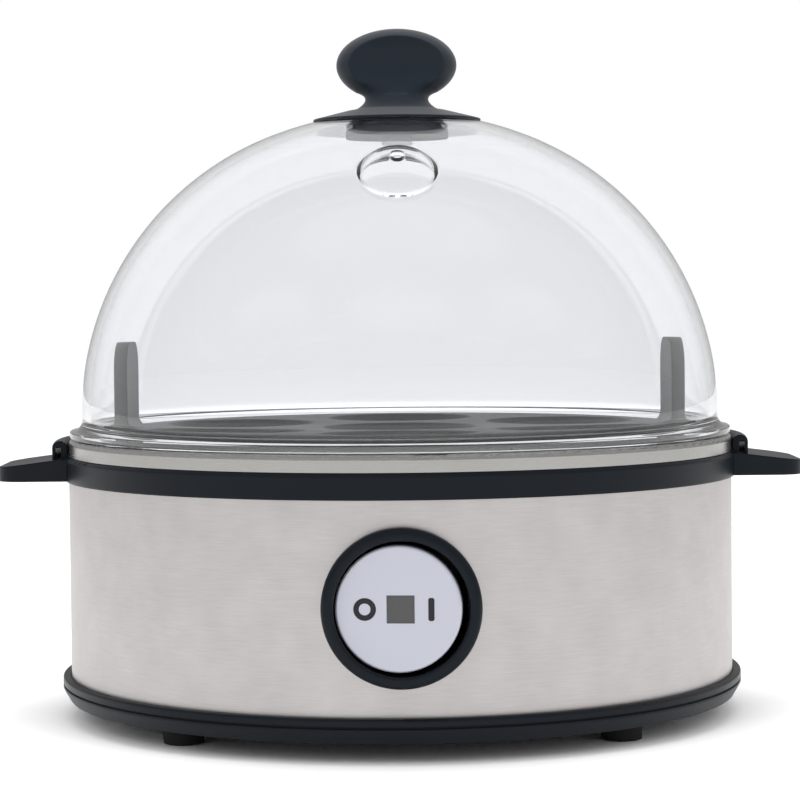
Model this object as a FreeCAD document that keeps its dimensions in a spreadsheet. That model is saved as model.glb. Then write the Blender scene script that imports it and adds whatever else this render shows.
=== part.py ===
import FreeCAD, Part
import math
import os
import re
import Sketcher
from FreeCAD import Placement, Rotation, Vector

# An electric egg cooker for seven eggs: a round steel body on four feet, a heating pan with a lift-out
# tray, and a clear domed lid with a knob. Millimetres, +Z up, the switch faces -Y, the two ears lie along X.
# The origin is on the floor, at the body's axis.

SIZES = {
    "fit_gap": 0.15, "rest_gap": 0.2, "run_gap": 0.05, "press_gap": 0.02, "cut_over": 1.0,
    "shell_radius": 79.0, "shell_sheet": 0.6, "shell_show": 46.2, "shell_tuck": 2.0,
    "foot_height": 4.3, "foot_radius": 4.9, "foot_inset": 12.0, "foot_angle": 45.0, "foot_taper": 0.4,
    "plug_radius": 2.2, "plug_barb": 0.7, "plug_head": 1.6,
    "cover_overhang": 2.0, "cover_band": 5.5, "cover_floor": 2.4, "cover_draft": 1.6, "cover_waist": 2.8,
    "cover_groove": 0.5, "cover_groove_drop": 1.7, "lip_round": 0.5, "spigot_wall": 1.8,
    "cover_screw": 1.7, "cover_screw_head": 3.2, "cover_screw_sink": 1.4, "cover_screw_bite": 12.0,
    "collar_overhang": 0.8, "collar_band": 5.65, "collar_round": 0.8, "collar_skirt": 5.0, "deck_thick": 2.2,
    "boss_inset": 4.25, "boss_radius": 3.8, "boss_angle": 20.0,
    "ear_reach": 15.2, "ear_half": 15.5, "ear_tip_thick": 3.3, "ear_root_thick": 5.2, "ear_corner": 6.0,
    "grip_inset": 3.0, "grip_depth": 1.5, "grip_web": 1.6, "grip_pitch": 5.0,
    "hump_wall": 0.7, "hump_slot": 1.35, "hump_thick": 3.6, "hump_top": 9.4, "hump_angle": 18.0,
    "slot_height": 3.7, "slot_roof": 1.6, "slot_overrun": 2.0,
    "pan_inset": 0.8, "pan_sheet": 0.8, "pan_band": 4.05, "band_width": 4.4, "ledge_width": 7.6,
    "pan_depth": 15.5, "ledge_drop": 7.2, "rim_round": 1.3, "well_round": 5.0, "seal_thick": 1.0,
    "stud_inset": 3.6, "stud_radius": 1.5, "stud_length": 9.0, "stud_turn": 90.0,
    "nut_radius": 3.0, "nut_thick": 2.4,
    "tray_gap": 3.3, "tray_height": 8.7, "tray_plate": 2.0, "tray_skirt": 2.0, "tray_round": 0.8,
    "seat_radius": 17.0, "seat_inset": 24.5, "seat_depth": 2.4, "seat_wall": 1.6, "seat_flare": 1.6,
    "tab_inset": 3.3, "tab_thick": 3.1, "tab_half": 11.0, "tab_height": 21.0, "tab_round": 7.0,
    "tab_flare": 3.0,
    "dome_step": 3.2, "dome_inset": 5.1, "crown_angle": 22.5, "dome_straight": 3.4, "dome_wall": 2.0,
    "flange_inset": 0.3, "flange_thick": 1.6, "flange_flare": 2.6, "lid_spigot": 2.2, "lid_spigot_wall": 1.8,
    "vent_angle": 37.4, "vent_radius": 8.6, "vent_rise": 4.0, "vent_wall": 1.6, "vent_hole": 1.5,
    "knob_rise": 11.1, "knob_half_width": 14.35, "knob_half_height": 8.7, "knob_half_depth": 8.6,
    "dish_wide": 22.0, "dish_tall": 11.8, "dish_deep": 10.0, "dish_floor": 4.0,
    "neck_radius": 6.6, "neck_flare": 5.0, "neck_drop": 8.4, "neck_crown": 4.5,
    "knob_foot": 20.0, "knob_edge": 0.6, "foot_swell": 0.5,
    "gasket_radius": 10.6, "gasket_thick": 1.0, "retainer_radius": 12.3, "retainer_thick": 1.8,
    "knob_screw": 2.0, "screw_bite": 9.0, "screw_head": 3.6, "screw_head_thick": 1.4,
    "switch_lift": 0.3, "bezel_radius": 17.1, "bezel_bore": 14.4, "bezel_stand": 3.0, "bezel_round": 1.4,
    "bezel_lip": 0.6, "tube_wall": 0.9, "tube_depth": 12.0,
    "rocker_radius": 13.5, "rocker_thick": 3.0, "rocker_sink": 0.6, "rocker_tilt": 5.0, "rocker_edge": 0.6,
    "window_side": 5.9, "window_shift": 0.5, "window_thick": 2.6, "window_sink": 0.2,
    "pivot_depth": 8.0, "pin_radius": 1.5,
    "lug_gap": 0.5, "lug_inner": 3.5, "lug_thick": 2.0, "lug_half": 3.2, "ear_post": 2.4,
    "housing_width": 25.0, "housing_height": 22.0, "housing_depth": 15.0,
    "tab_terminal": 6.3, "blade_thick": 0.8, "blade_length": 8.0, "blade_pitch": 7.5,
    "lamp_radius": 2.2, "lamp_length": 8.0, "lamp_seat": 4.0,
    "gland_neck": 5.0, "gland_flange": 1.8, "gland_bore": 3.4, "gland_tail": 5.0,
    "spreader_inset": 17.0, "spreader_thick": 5.0, "element_inset": 12.0, "element_radius": 3.2,
    "element_bend": 7.0, "element_gap": 20.0, "element_leg": 7.0, "sleeve_radius": 2.5, "sleeve_length": 5.0,
    "pole_radius": 1.3, "pole_length": 7.0,
    "stat_cap": 8.5, "stat_body": 7.2, "stat_drop": 10.5,
    "strap_length": 44.0, "strap_width": 19.0, "strap_thick": 1.2, "strap_end": 4.5,
    "fuse_radius": 2.0, "fuse_length": 12.0, "fuse_offset": 22.0, "clip_width": 6.0, "clip_thick": 0.8,
    "clip_foot": 8.0, "small_screw": 1.5, "small_head": 2.8, "small_head_thick": 1.8, "small_bite": 3.5,
    "block_width": 30.0, "block_depth": 15.0, "block_height": 12.0, "block_inset": 24.4, "block_pitch": 7.0,
    "block_way": 6.0, "block_bite": 1.6, "block_hole": 2.6, "block_end": 3.0,
    "lead_radius": 1.1, "lead_lane": 14.0, "lead_run": 8.0, "lead_sag": 6.0,
}

# Heights and radii that follow from the sizes above.
LEVELS = {
    "cover_base": "foot_height",
    "floor_top": "cover_base + cover_floor",
    "lip_top": "cover_base + cover_band",
    "shell_base": "lip_top - shell_tuck",
    "shell_bore": "shell_radius - shell_sheet",
    "cover_radius": "shell_radius + cover_overhang",
    "collar_radius": "shell_radius + collar_overhang",
    "pan_radius": "collar_radius - pan_inset",
    "pan_wall": "pan_radius - band_width",
    "pan_well": "pan_wall - ledge_width",
    "foot_circle": "cover_radius - foot_inset",
    "collar_base": "lip_top + shell_show",
    "shell_top": "collar_base + shell_tuck",
    "shoulder": "collar_base + collar_band",
    "rim_top": "shoulder + pan_band",
    "ledge_top": "rim_top - ledge_drop",
    "pan_floor": "rim_top - pan_depth",
    "pan_under": "pan_floor - pan_sheet",
    "pan_bore": "pan_wall - pan_sheet",
    "well_bore": "pan_well - pan_sheet",
    "seal_top": "ledge_top - pan_sheet",
    "deck_top": "seal_top - seal_thick",
    "deck_base": "deck_top - deck_thick",
    "deck_bore": "pan_well + 3 * fit_gap",
    "upstand_bore": "pan_wall + fit_gap",
    "upstand_face": "pan_radius - pan_sheet - fit_gap",
    "upstand_top": "rim_top - rim_round",
    "skirt_face": "shell_bore - fit_gap",
    "skirt_bore": "skirt_face - spigot_wall",
    "boss_circle": "skirt_bore - boss_inset",
    "stud_circle": "pan_wall - stud_inset",
    "ear_tip": "collar_radius + ear_reach",
    "ear_top": "collar_base + ear_root_thick",
    "hump_bore": "pan_radius + 2 * fit_gap",
    "hump_crest": "collar_base + hump_top",
    "tray_radius": "pan_bore - tray_gap",
    "seat_circle": "tray_radius - seat_inset",
    "tab_reach": "tray_radius - tab_inset",
    "tray_base": "ledge_top + rest_gap",
    "tray_top": "tray_base + tray_height",
    "seat_base": "tray_top - tray_plate - seat_depth",
    "dome_radius": "pan_radius - dome_step",
    "flange_radius": "pan_radius - flange_inset",
    "lid_base": "rim_top + rest_gap",
    "flange_top": "lid_base + flange_thick",
    "spring": "flange_top + dome_straight",
    "flank": "dome_radius - dome_inset",
    "crown": "flank + dome_inset / sin(crown_angle)",
    "crown_centre": "spring - dome_inset / tan(crown_angle)",
    "dome_top": "crown_centre + crown",
    "spigot_face": "pan_bore - 2 * rest_gap",
    "knob_centre": "dome_top + knob_rise",
    "gasket_top": "crown_centre + sqrt((crown - dome_wall) ^ 2 - gasket_radius ^ 2) - fit_gap",
    "retainer_top": "gasket_top - gasket_thick",
    "retainer_base": "retainer_top - retainer_thick",
    "vent_out": "dome_inset + flank * sin(vent_angle)",
    "vent_up": "spring + flank * cos(vent_angle)",
    "vent_ball": "(vent_radius ^ 2 + vent_rise ^ 2) / (2 * vent_rise)",
    "vent_sink": "vent_ball - vent_rise",
    "switch_height": "lip_top + shell_show / 2 + switch_lift",
    "bezel_front": "shell_radius + bezel_stand",
    "tube_radius": "bezel_bore + tube_wall",
    "tube_back": "shell_radius - tube_depth",
    "rocker_face": "bezel_front - rocker_sink",
    "rocker_back": "rocker_face - rocker_thick",
    "pivot": "rocker_face - pivot_depth",
    "lug_outer": "lug_inner + lug_thick",
    "post_inner": "lug_outer + lug_gap",
    "post_outer": "post_inner + ear_post",
    "housing_back": "tube_back - housing_depth",
    "gland_height": "lip_top + fit_gap + gland_neck + gland_flange",
    "spreader_radius": "pan_well - spreader_inset",
    "element_circle": "spreader_radius - element_inset",
    "strap_screw": "strap_length / 2 - strap_end",
    "block_reach": "shell_bore - block_inset",
    "block_screw": "block_width / 2 - block_end",
    "spreader_base": "pan_under - spreader_thick",
    "leg_base": "spreader_base - element_bend - element_leg",
    "stat_base": "spreader_base - stat_drop",
    "strap_base": "spreader_base - strap_thick",
    "fuse_height": "spreader_base - fuse_radius",
    "clip_screw_y": "-fuse_offset + fuse_radius + fit_gap + clip_thick + clip_foot / 2",
}

doc = FreeCAD.newDocument("egg_cooker")
sizes = doc.addObject("Spreadsheet::Sheet", "sizes")
levels = doc.addObject("Spreadsheet::Sheet", "levels")
WORD = re.compile(r"[a-z][a-z_]*")


def linked(formula):
    """The same formula with each size and level named by its sheet."""
    def place(found):
        word = found.group(0)
        if word in SIZES:
            return "sizes." + word
        if word in LEVELS:
            return "levels." + word
        return word
    return WORD.sub(place, formula)


for row, (alias, number) in enumerate(SIZES.items(), 1):
    sizes.set(f"A{row}", alias)
    sizes.set(f"B{row}", str(number))
    sizes.setAlias(f"B{row}", alias)
doc.recompute()
for row, (alias, formula) in enumerate(LEVELS.items(), 1):
    levels.set(f"A{row}", alias)
    levels.set(f"B{row}", "=" + linked(formula).replace("levels.", ""))
    levels.setAlias(f"B{row}", alias)
doc.recompute()


def val(formula):
    """The number that a formula of sizes gives now."""
    return float(sizes.evalExpression(linked(formula)))


def bind(thing, **formulas):
    """Ties properties of an object to formulas of sizes; x, y and z are its place."""
    places = {"x": "Placement.Base.x", "y": "Placement.Base.y", "z": "Placement.Base.z"}
    for name, formula in formulas.items():
        thing.setExpression(places.get(name, name), linked(formula))
    return thing


def body(label, turn=None, **place):
    made = doc.addObject("PartDesign::Body", label)
    if turn:
        made.Placement = Placement(Vector(), turn)
    return bind(made, **place)


def origin(owner, role):
    return next(part for part in owner.Origin.OriginFeatures if part.Role == role)


def sketch(owner, name, plane, offset=None):
    made = owner.newObject("Sketcher::SketchObject", name)
    made.AttachmentSupport = [(origin(owner, plane), "")]
    made.MapMode = "FlatFace"
    if offset:
        made.setExpression("AttachmentOffset.Base.z", linked(offset))
    return made


def pin_point(owner, edge, end, x, y):
    """Holds one end of an edge at x, y, each a formula."""
    for axis, kind, formula in ((-2, "DistanceX", x), (-1, "DistanceY", y)):
        number = val(formula)
        if formula == "0":
            owner.addConstraint(Sketcher.Constraint("PointOnObject", edge, end, axis))
            continue
        index = owner.addConstraint(Sketcher.Constraint(kind, -1, 1, edge, end, number))
        owner.setExpression(f"Constraints[{index}]", linked(formula))


def arc_between(start, end, radius, side):
    """The shorter arc from start to end; side +1 has its centre on the left of the way along it."""
    chord = end - start
    left = Vector(-chord.y, chord.x, 0).normalize()
    reach = math.sqrt(max(radius ** 2 - (chord.Length / 2) ** 2, 0))
    centre = (start + end) / 2 + left * (side * reach)
    first, last = (start, end) if side > 0 else (end, start)
    angles = [math.atan2(spot.y - centre.y, spot.x - centre.x) for spot in (first, last)]
    return Part.ArcOfCircle(Part.Circle(centre, Vector(0, 0, 1), radius), *angles)


def outline(owner, name, plane, corners, offset=None):
    """A closed outline. A corner is (x, y), or (x, y, radius, side) where an arc arrives at it."""
    made = sketch(owner, name, plane, offset)
    add_outline(made, corners)
    return made


def add_outline(made, corners):
    first = made.GeometryCount
    count = len(corners)
    spots = [Vector(val(corner[0]), val(corner[1]), 0) for corner in corners]
    ends = []
    for index in range(count):
        start, end = spots[index], spots[(index + 1) % count]
        arrival = corners[(index + 1) % count]
        if not arrival[2:]:
            made.addGeometry(Part.LineSegment(start, end), False)
            ends.append((1, 2))
            continue
        made.addGeometry(arc_between(start, end, val(arrival[2]), arrival[3]), False)
        ends.append((1, 2) if arrival[3] > 0 else (2, 1))
    for index in range(count):
        following = (index + 1) % count
        made.addConstraint(Sketcher.Constraint(
            "Coincident", first + index, ends[index][1], first + following, ends[following][0]))
    for index, corner in enumerate(corners):
        pin_point(made, first + index, ends[index][0], corner[0], corner[1])
        if corner[2:]:
            edge = first + (index - 1) % count
            held = made.addConstraint(Sketcher.Constraint("Radius", edge, val(corner[2])))
            made.setExpression(f"Constraints[{held}]", linked(corner[2]))


def discs(owner, name, plane, circles, offset=None):
    """A sketch of whole circles, each (x, y, radius). Point 3 of a circle is its centre."""
    made = sketch(owner, name, plane, offset)
    for index, (x, y, radius) in enumerate(circles):
        made.addGeometry(Part.Circle(Vector(val(x), val(y), 0), Vector(0, 0, 1), val(radius)), False)
        pin_point(made, index, 3, x, y)
        held = made.addConstraint(Sketcher.Constraint("Radius", index, val(radius)))
        made.setExpression(f"Constraints[{held}]", linked(radius))
    return made


def feature(owner, kind, profile, **formulas):
    made = owner.newObject("PartDesign::" + kind, profile.Name + "_" + kind.lower())
    made.Profile = profile
    return bind(made, **formulas)


def revolve(owner, profile, kind="Revolution", angle=None):
    made = feature(owner, kind, profile)
    made.ReferenceAxis = (origin(owner, "Z_Axis"), [""])
    made.Angle = 360
    if angle:
        bind(made, Angle=angle)
        made.Midplane = True
    return made


def pad(owner, profile, length, middle=False, back=False):
    made = feature(owner, "Pad", profile, Length=length)
    made.Midplane = middle
    made.Reversed = back
    return made


def pocket(owner, profile, length, middle=False, back=False):
    made = feature(owner, "Pocket", profile, Length=length)
    made.Midplane = middle
    made.Reversed = back
    return made


def ring(owner, features, count):
    """Repeats features evenly about the upright axis."""
    made = owner.newObject("PartDesign::PolarPattern", owner.Name + "_ring")
    made.Originals = features
    made.Axis = (origin(owner, "Z_Axis"), [""])
    made.Angle = 360
    made.Occurrences = count
    owner.Tip = made
    return made


SAME_WITHIN = 0.01


def same(first, second):
    return abs(first - second) < SAME_WITHIN


def round_edges(owner, kind, size, wanted):
    """Rounds or chamfers those edges of the body so far for which wanted(edge) is true."""
    doc.recompute()
    base = owner.Tip
    names = [f"Edge{i}" for i, edge in enumerate(base.Shape.Edges, 1) if wanted(edge)]
    made = owner.newObject("PartDesign::" + kind, owner.Name + "_" + kind.lower())
    made.Base = (base, names)
    return bind(made, **{"Radius" if kind == "Fillet" else "Size": size})


def solid(kind, name, turn=None, **formulas):
    """A primitive whose sizes and place are formulas."""
    made = doc.addObject("Part::" + kind, name)
    if turn:
        made.Placement = Placement(Vector(), turn)
    return bind(made, **formulas)


def fused(name, *shapes):
    made = doc.addObject("Part::MultiFuse", name)
    made.Shapes = list(shapes)
    return made


def cut(name, base, *tools):
    tool = tools[0] if len(tools) == 1 else fused(name + "_tools", *tools)
    made = doc.addObject("Part::Cut", name)
    made.Base = base
    made.Tool = tool
    return made


def group(label, members):
    """One node of separate like solids."""
    made = doc.addObject("Part::Compound", label)
    made.Links = members
    return made


def polar(radius, angle):
    return f"{radius} * cos({angle})", f"{radius} * sin({angle})"


UPRIGHT_TO_FRONT = Rotation(Vector(1, 0, 0), 90)
UPRIGHT_TO_SIDE = Rotation(Vector(0, 1, 0), 90)


def four(angle):
    """Four angles, mirrored about both horizontal axes."""
    return [angle, f"180 - {angle}", f"180 + {angle}", f"-{angle}"]


def thirds(angle):
    return [f"{angle} + {turn}" for turn in (0, 120, 240)]


def around(radius, angles, size):
    """Circles of one size at angles on a circle."""
    return [(*polar(radius, angle), size) for angle in angles]


def tombstone(half, low):
    """The gland's outline: straight sides and a round top."""
    return [
        (f"-({half})", low), (half, low), (half, "gland_height"),
        ("0", f"gland_height + {half}", half, 1), (f"-({half})", "gland_height", half, 1)]


def rectangle(half_x, half_y, x="0", y="0"):
    return [
        (f"{x} - ({half_x})", f"{y} - ({half_y})"), (f"{x} + {half_x}", f"{y} - ({half_y})"),
        (f"{x} + {half_x}", f"{y} + {half_y}"), (f"{x} - ({half_x})", f"{y} + {half_y}")]


def screw(name, x, y, head_z, head, head_thick, shank, length):
    """A screw driven upwards, its head underneath, from the underside of the head."""
    cap = solid("Cylinder", name + "_head", Radius=head, Height=head_thick, x=x, y=y, z=head_z)
    stem = solid("Cylinder", name + "_shank", Radius=shank, Height=f"{head_thick} + {length}",
                 x=x, y=y, z=head_z)
    return fused(name, cap, stem)


def base_cover():
    made = body("base_cover")
    groove = "lip_top - cover_groove_drop"
    revolve(made, outline(made, "cover_profile", "XZ_Plane", [
        ("0", "cover_base"), ("cover_radius - cover_draft", "cover_base"),
        ("cover_radius", "cover_base + cover_waist"), ("cover_radius", f"{groove} - cover_groove"),
        ("cover_radius - cover_groove", f"{groove} - cover_groove"), ("cover_radius - cover_groove", groove),
        ("cover_radius", groove), ("cover_radius", "lip_top - lip_round"),
        ("cover_radius - lip_round", "lip_top", "lip_round", 1), ("shell_radius + fit_gap", "lip_top"),
        ("shell_radius + fit_gap", "shell_base"), ("skirt_face", "shell_base"), ("skirt_face", "lip_top"),
        ("skirt_bore", "lip_top"), ("skirt_bore", "floor_top"), ("0", "floor_top")]))
    feet = around("foot_circle", four("foot_angle"), "plug_radius + press_gap")
    pocket(made, discs(made, "plug_holes", "XY_Plane", feet, "cover_base"), "cover_floor", back=True)
    holes = around("boss_circle", four("boss_angle"), "cover_screw + fit_gap")
    pocket(made, discs(made, "screw_holes", "XY_Plane", holes, "cover_base"), "cover_floor", back=True)
    sinks = around("boss_circle", four("boss_angle"), "cover_screw_head + fit_gap")
    pocket(made, discs(made, "screw_sinks", "XY_Plane", sinks, "cover_base"), "cover_screw_sink", back=True)
    pilots = [(f"{side} * block_screw", "block_reach", "small_screw + press_gap") for side in (-1, 1)]
    pocket(made, discs(made, "block_pilots", "XY_Plane", pilots, "floor_top"), "block_bite")
    return made


def rubber_feet():
    feet = []
    for number, angle in enumerate(four("foot_angle")):
        x, y = polar("foot_circle", angle)
        pad_end = solid("Cone", f"foot_{number}_pad", Radius1="foot_radius - foot_taper",
                        Radius2="foot_radius", Height="foot_height", x=x, y=y)
        plug = solid("Cylinder", f"foot_{number}_plug", Radius="plug_radius",
                     Height="foot_height + cover_floor", x=x, y=y)
        barb = solid("Cone", f"foot_{number}_barb", Radius1="plug_radius + plug_barb", Radius2="plug_radius",
                     Height="plug_head", x=x, y=y, z="floor_top")
        feet.append(fused(f"foot_{number}", pad_end, plug, barb))
    return group("rubber_feet", feet)


def cover_screws():
    screws = []
    for number, angle in enumerate(four("boss_angle")):
        x, y = polar("boss_circle", angle)
        screws.append(screw(f"cover_screw_{number}", x, y, "cover_base + rest_gap", "cover_screw_head",
                            "cover_screw_sink - rest_gap", "cover_screw",
                            "cover_floor - cover_screw_sink + cover_screw_bite"))
    return group("cover_screws", screws)


def body_shell():
    made = body("body_shell")
    tube = [("0", "0", "shell_radius"), ("0", "0", "shell_bore")]
    pad(made, discs(made, "shell_ring", "XY_Plane", tube, "shell_base"), "shell_top - shell_base")
    hole = [("0", "switch_height", "tube_radius + fit_gap")]
    pocket(made, discs(made, "switch_hole", "XZ_Plane", hole), "shell_radius + cut_over", back=True)
    notch = tombstone("gland_neck + fit_gap", "shell_base - cut_over")
    pocket(made, outline(made, "gland_notch", "XZ_Plane", notch), "shell_radius + cut_over")
    return made


def handle_collar():
    made = body("handle_collar")
    revolve(made, outline(made, "collar_profile", "XZ_Plane", [
        ("skirt_bore", "collar_base - collar_skirt"), ("skirt_face", "collar_base - collar_skirt"),
        ("skirt_face", "collar_base"), ("collar_radius", "collar_base"),
        ("collar_radius", "shoulder - collar_round"),
        ("collar_radius - collar_round", "shoulder", "collar_round", 1), ("upstand_face", "shoulder"),
        ("upstand_face", "upstand_top"), ("upstand_bore", "upstand_top"), ("upstand_bore", "deck_top"),
        ("deck_bore", "deck_top"), ("deck_bore", "deck_base"), ("skirt_bore", "deck_base")]))
    ear = pad(made, outline(made, "ear_plan", "XY_Plane", [
        ("skirt_face", "-ear_half"), ("ear_tip - ear_corner", "-ear_half"),
        ("ear_tip", "ear_corner - ear_half", "ear_corner", 1), ("ear_tip", "ear_half - ear_corner"),
        ("ear_tip - ear_corner", "ear_half", "ear_corner", 1), ("skirt_face", "ear_half")],
        "collar_base"), "ear_root_thick")
    slope = pocket(made, outline(made, "ear_slope", "XZ_Plane", [
        ("collar_radius", "ear_top"), ("ear_tip", "collar_base + ear_tip_thick"),
        ("ear_tip + cut_over", "collar_base + ear_tip_thick"), ("ear_tip + cut_over", "ear_top + cut_over"),
        ("collar_radius", "ear_top + cut_over")]), "2 * ear_half + cut_over", middle=True)
    cells = sketch(made, "grip_cells", "XY_Plane", "collar_base")
    for slot in (-2, -1, 0, 1, 2):
        half_length = "ear_reach / 2 - grip_inset"
        add_outline(cells, rectangle(half_length, "(grip_pitch - grip_web) / 2",
                                     "collar_radius + ear_reach / 2", f"{slot} * grip_pitch"))
    grip = pocket(made, cells, "grip_depth", back=True)
    crest = "hump_bore + hump_thick / 2"
    spring_line = "hump_crest - hump_thick / 2"
    hump = revolve(made, outline(made, "hump_profile", "XZ_Plane", [
        ("hump_bore", "ear_top - ear_root_thick / 2"),
        ("hump_bore + hump_thick", "ear_top - ear_root_thick / 2"),
        ("hump_bore + hump_thick", spring_line), (crest, "hump_crest", "hump_thick / 2", 1),
        ("hump_bore", spring_line, "hump_thick / 2", 1)]), angle="hump_angle")
    slot_face = "hump_bore + hump_thick - hump_wall"
    slot_base = "hump_crest - slot_roof - slot_height"
    slot = revolve(made, outline(made, "hump_slot_profile", "XZ_Plane", [
        (f"{slot_face} - hump_slot", slot_base), (slot_face, slot_base),
        (slot_face, f"{slot_base} + slot_height"),
        (f"{slot_face} - hump_slot", f"{slot_base} + slot_height")]), "Groove", "hump_angle + slot_overrun")
    ring(made, [ear, slope, grip, hump, slot], 2)
    revolve(made, outline(made, "shell_seat", "XZ_Plane", [
        ("skirt_face", "collar_base - cut_over"), ("shell_radius + fit_gap", "collar_base - cut_over"),
        ("shell_radius + fit_gap", "shell_top + fit_gap"), ("skirt_face", "shell_top + fit_gap")]), "Groove")
    bosses = around("boss_circle", four("boss_angle"), "boss_radius")
    pad(made, discs(made, "screw_bosses", "XY_Plane", bosses, "floor_top"), "deck_base - floor_top")
    pilots = around("boss_circle", four("boss_angle"), "cover_screw + press_gap")
    pocket(made, discs(made, "screw_pilots", "XY_Plane", pilots, "floor_top"),
           "cover_screw_bite + cut_over", back=True)
    studs = around("stud_circle", thirds("stud_turn"), "stud_radius + fit_gap")
    pocket(made, discs(made, "stud_holes", "XY_Plane", studs, "deck_top"), "deck_thick")
    return made


def heating_pan():
    made = body("heating_pan")
    inner_rim = "rim_round - pan_sheet"
    inner_well = "well_round - pan_sheet"
    revolve(made, outline(made, "pan_profile", "XZ_Plane", [
        ("0", "pan_under"), ("pan_well - well_round", "pan_under"),
        ("pan_well", "pan_under + well_round", "well_round", 1), ("pan_well", "seal_top"),
        ("pan_wall", "seal_top"), ("pan_wall", "rim_top - rim_round"),
        (f"pan_wall + {inner_rim}", "rim_top - pan_sheet", inner_rim, -1),
        ("pan_radius - rim_round", "rim_top - pan_sheet"),
        ("pan_radius - pan_sheet", "rim_top - rim_round", inner_rim, -1),
        ("pan_radius - pan_sheet", "shoulder + fit_gap"), ("pan_radius", "shoulder + fit_gap"),
        ("pan_radius", "rim_top - rim_round"), ("pan_radius - rim_round", "rim_top", "rim_round", 1),
        ("pan_bore + rim_round", "rim_top"), ("pan_bore", "rim_top - rim_round", "rim_round", 1),
        ("pan_bore", "ledge_top"), ("well_bore", "ledge_top"), ("well_bore", f"pan_floor + {inner_well}"),
        (f"well_bore - ({inner_well})", "pan_floor", inner_well, -1), ("0", "pan_floor")]))
    studs = around("stud_circle", thirds("stud_turn"), "stud_radius")
    pad(made, discs(made, "weld_studs", "XY_Plane", studs, "seal_top - stud_length"), "stud_length")
    return made


def pan_seal():
    made = body("pan_seal")
    washer = [("0", "0", "pan_wall"), ("0", "0", "deck_bore")]
    pad(made, discs(made, "seal_ring", "XY_Plane", washer, "deck_top"), "seal_thick")
    studs = around("stud_circle", thirds("stud_turn"), "stud_radius + fit_gap")
    pocket(made, discs(made, "seal_holes", "XY_Plane", studs, "seal_top"), "seal_thick")
    return made


def pan_nuts():
    nuts = []
    for number, angle in enumerate(thirds("stud_turn")):
        x, y = polar("stud_circle", angle)
        blank = solid("Prism", f"nut_{number}_blank", Circumradius="nut_radius", Height="nut_thick",
                      x=x, y=y, z="deck_base - nut_thick")
        blank.Polygon = 6
        hole = solid("Cylinder", f"nut_{number}_hole", Radius="stud_radius + press_gap", Height="nut_thick",
                     x=x, y=y, z="deck_base - nut_thick")
        nuts.append(cut(f"nut_{number}", blank, hole))
    return group("pan_nuts", nuts)


def heat_spreader():
    made = body("heat_spreader")
    plate = [("0", "0", "spreader_radius"), ("0", "0", "stat_cap + fit_gap")]
    pad(made, discs(made, "spreader_plate", "XY_Plane", plate, "spreader_base"), "spreader_thick")
    channel = [("element_circle", "spreader_base", "element_radius + fit_gap")]
    revolve(made, discs(made, "element_channel", "XZ_Plane", channel), "Groove")
    holes = [(f"{side} * strap_screw", "0", "small_screw + press_gap") for side in (-1, 1)]
    holes.append(("0", "clip_screw_y", "small_screw + press_gap"))
    pocket(made, discs(made, "spreader_pilots", "XY_Plane", holes, "spreader_base"), "small_bite", back=True)
    return made


SWEEP_ERROR = 0.02


def swept(label, wire, radius):
    """A round bar along a wire of lines and arcs, with its volume compared with section times length."""
    start = wire.Vertexes[0].Point
    along = wire.Edges[0].tangentAt(wire.Edges[0].FirstParameter)
    section = Part.Wire([Part.makeCircle(radius, start, along)])
    made = doc.addObject("Part::Feature", label)
    made.Shape = wire.makePipeShell([section], True, False)
    expected = math.pi * radius ** 2 * wire.Length
    if abs(made.Shape.Volume - expected) > SWEEP_ERROR * expected:
        raise ValueError(label + " swept badly")
    return made


def leg_spot(side):
    """Where one leg of the element stands, on its side of the gap at the rear."""
    angle = math.radians(90 - side * val("element_gap"))
    circle, bend = val("element_circle"), val("element_bend")
    end = Vector(circle * math.cos(angle), circle * math.sin(angle), 0)
    towards_gap = Vector(-math.sin(angle), math.cos(angle), 0) * side
    return end, end + towards_gap * bend, towards_gap


def heating_element():
    rise = val("spreader_base")
    low = val("leg_base")
    bend = val("element_bend")
    lift = Vector(0, 0, 1)
    runs = []
    for side in (-1, 1):
        end, leg, towards_gap = leg_spot(side)
        corner = end + lift * (rise - bend)
        elbow = corner + (towards_gap + lift) * (bend * math.sqrt(0.5))
        runs.append((leg + lift * low, leg + lift * (rise - bend), elbow, end + lift * rise))
    left, right = runs
    front = Vector(0, -val("element_circle"), rise)
    edges = [
        Part.LineSegment(left[0], left[1]).toShape(), Part.Arc(left[1], left[2], left[3]).toShape(),
        Part.Arc(left[3], front, right[3]).toShape(), Part.Arc(right[3], right[2], right[1]).toShape(),
        Part.LineSegment(right[1], right[0]).toShape()]
    return swept("heating_element", Part.Wire(edges), val("element_radius"))


def on_legs(name, **sizes_of_one):
    """One upright rod below each leg of the element."""
    rods = []
    for side in (-1, 1):
        leg = leg_spot(side)[1]
        rod = solid("Cylinder", f"{name}_{side + 1}", **sizes_of_one)
        rod.Placement.Base = Vector(leg.x, leg.y, 0)
        rods.append(rod)
    return rods


def element_pins():
    pins = on_legs("pin", Radius="pole_radius", Height="sleeve_length + pole_length",
                   z="leg_base - sleeve_length - pole_length")
    return group("element_pins", pins)


def element_insulators():
    beads = on_legs("bead", Radius="sleeve_radius", Height="sleeve_length", z="leg_base - sleeve_length")
    bores = on_legs("bead_bore", Radius="pole_radius + press_gap", Height="sleeve_length",
                    z="leg_base - sleeve_length")
    bored = [cut(f"bead_{number}_bored", *pair) for number, pair in enumerate(zip(beads, bores))]
    return group("element_insulators", bored)


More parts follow.
